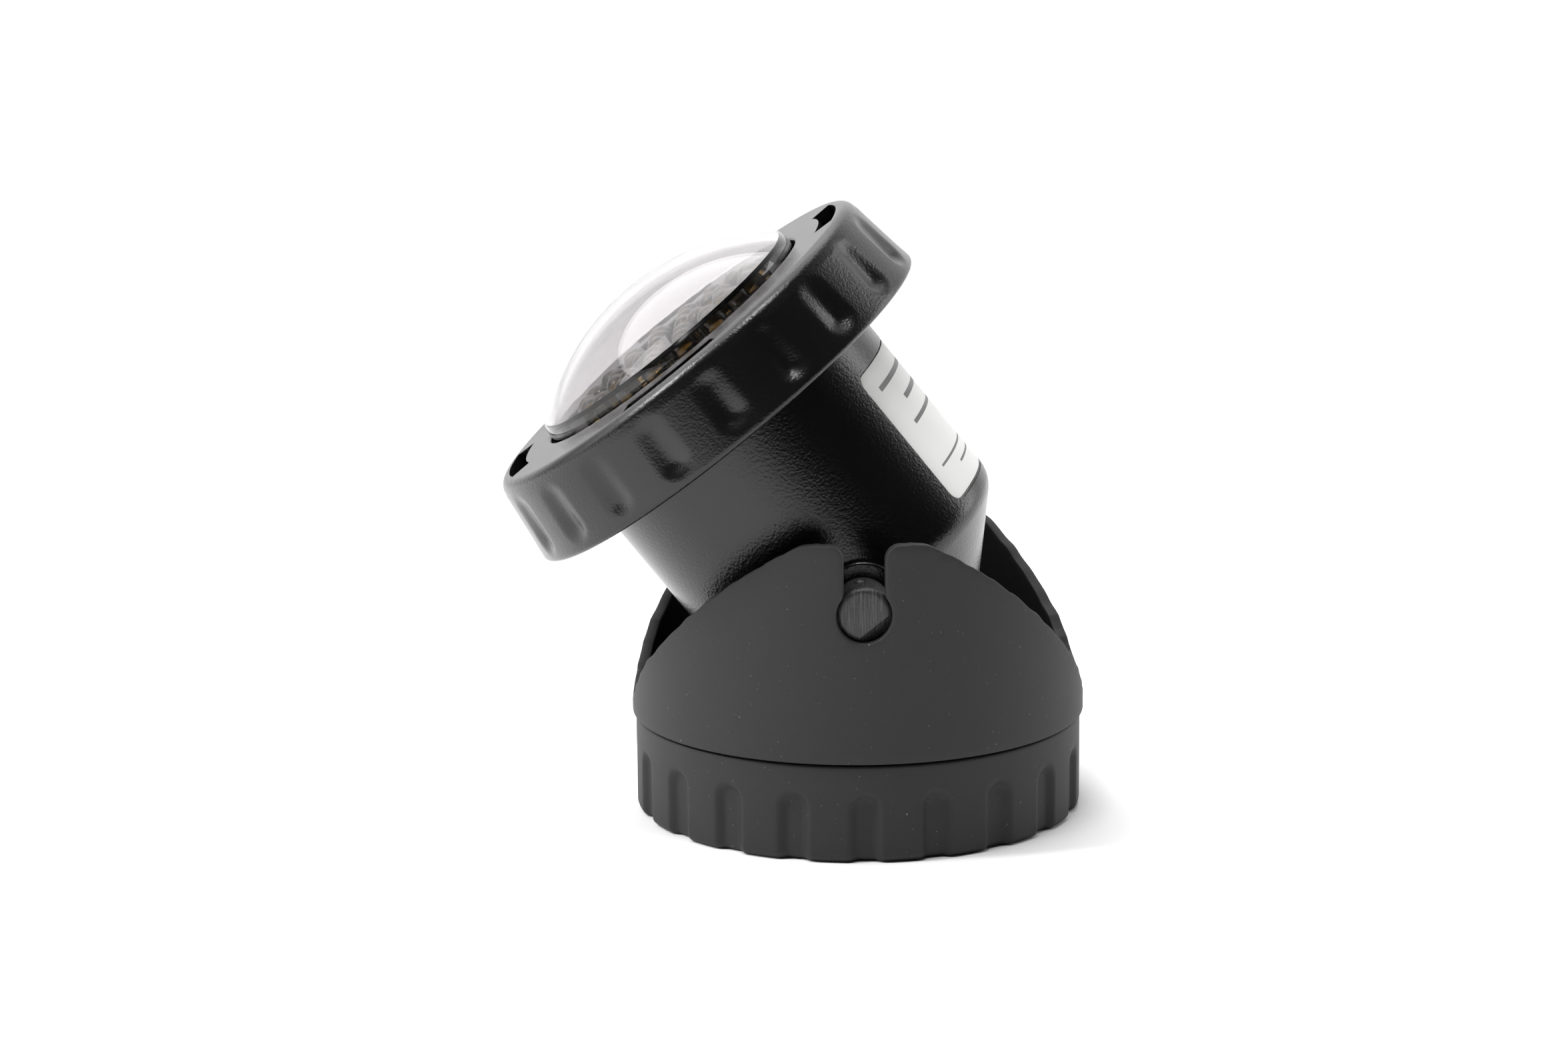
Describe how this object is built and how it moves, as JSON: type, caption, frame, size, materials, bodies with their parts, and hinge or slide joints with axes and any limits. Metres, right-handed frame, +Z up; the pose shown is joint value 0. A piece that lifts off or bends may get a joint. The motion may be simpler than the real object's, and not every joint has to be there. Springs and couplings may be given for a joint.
{
  "type": "underwater pond light",
  "caption": "Round pond light: a tilting lamp head with a clear dome and fluted collar, held by trunnion pins in a two-eared yoke on a fluted weighted base.",
  "frame": {"origin": "centre of the base's underside", "axes": "+Z up, the tilt axis along Y, the lamp leaning towards -X"},
  "size_m": [0.1041, 0.0844, 0.1092],
  "materials": {
    "base_plastic": "fine moulded grain, matte charcoal",
    "head_plastic": "fine orange-peel grain, semi-gloss black",
    "base_weight": "rough cast, painted dark",
    "screws": "plain turned steel",
    "rating_label": "smooth printed film",
    "seal_rubber": "smooth black rubber",
    "dome_lens": "clear polished plastic",
    "led_board": "green lacquered circuit board",
    "leds": "clear moulded resin",
    "black_parts": "black moulded plastic",
    "ballast_resistors": "lacquered, light blue",
    "smoothing_capacitor": "dark shrink sleeve",
    "terminal_pins": "tinned brass",
    "cable_potting": "poured black resin"
  },
  "bodies": {
    "base": {"base_cup": "base_plastic", "base_weight": "base_weight", "weight_screws": "screws"},
    "yoke": {"yoke": "base_plastic"},
    "head": {"lamp_housing": "head_plastic", "rating_label": "rating_label", "lens_gasket": "seal_rubber", "dome_lens": "dome_lens", "led_board": "led_board", "led_holder": "black_parts", "leds_inner": "leds", "leds_middle": "leds", "leds_outer": "leds", "board_screws": "screws", "bridge_diodes": "black_parts", "ballast_resistors": "ballast_resistors", "smoothing_capacitor": "smoothing_capacitor", "terminal_pins": "terminal_pins", "cable_potting": "cable_potting", "gland_bush": "seal_rubber", "gland_nut": "head_plastic"},
    "collar": {"collar_ring": "head_plastic"}
  },
  "joints": [
    {"name": "base_turn", "type": "hinge", "parent": "base", "child": "yoke", "pos_m": [0, 0, 0], "axis": [0, 0, 1], "range_deg": [0, 45]},
    {"name": "head_tilt", "type": "hinge", "parent": "yoke", "child": "head", "pos_m": [0, 0, 0.0438], "axis": [0, 1, 0], "range_deg": [-22, 99]},
    {"name": "collar_turn", "type": "hinge", "parent": "head", "child": "collar", "pos_m": [0, 0, 0.0438], "axis": [-0.6225, 0, 0.7826], "range_deg": [0, 45]}
  ]
}
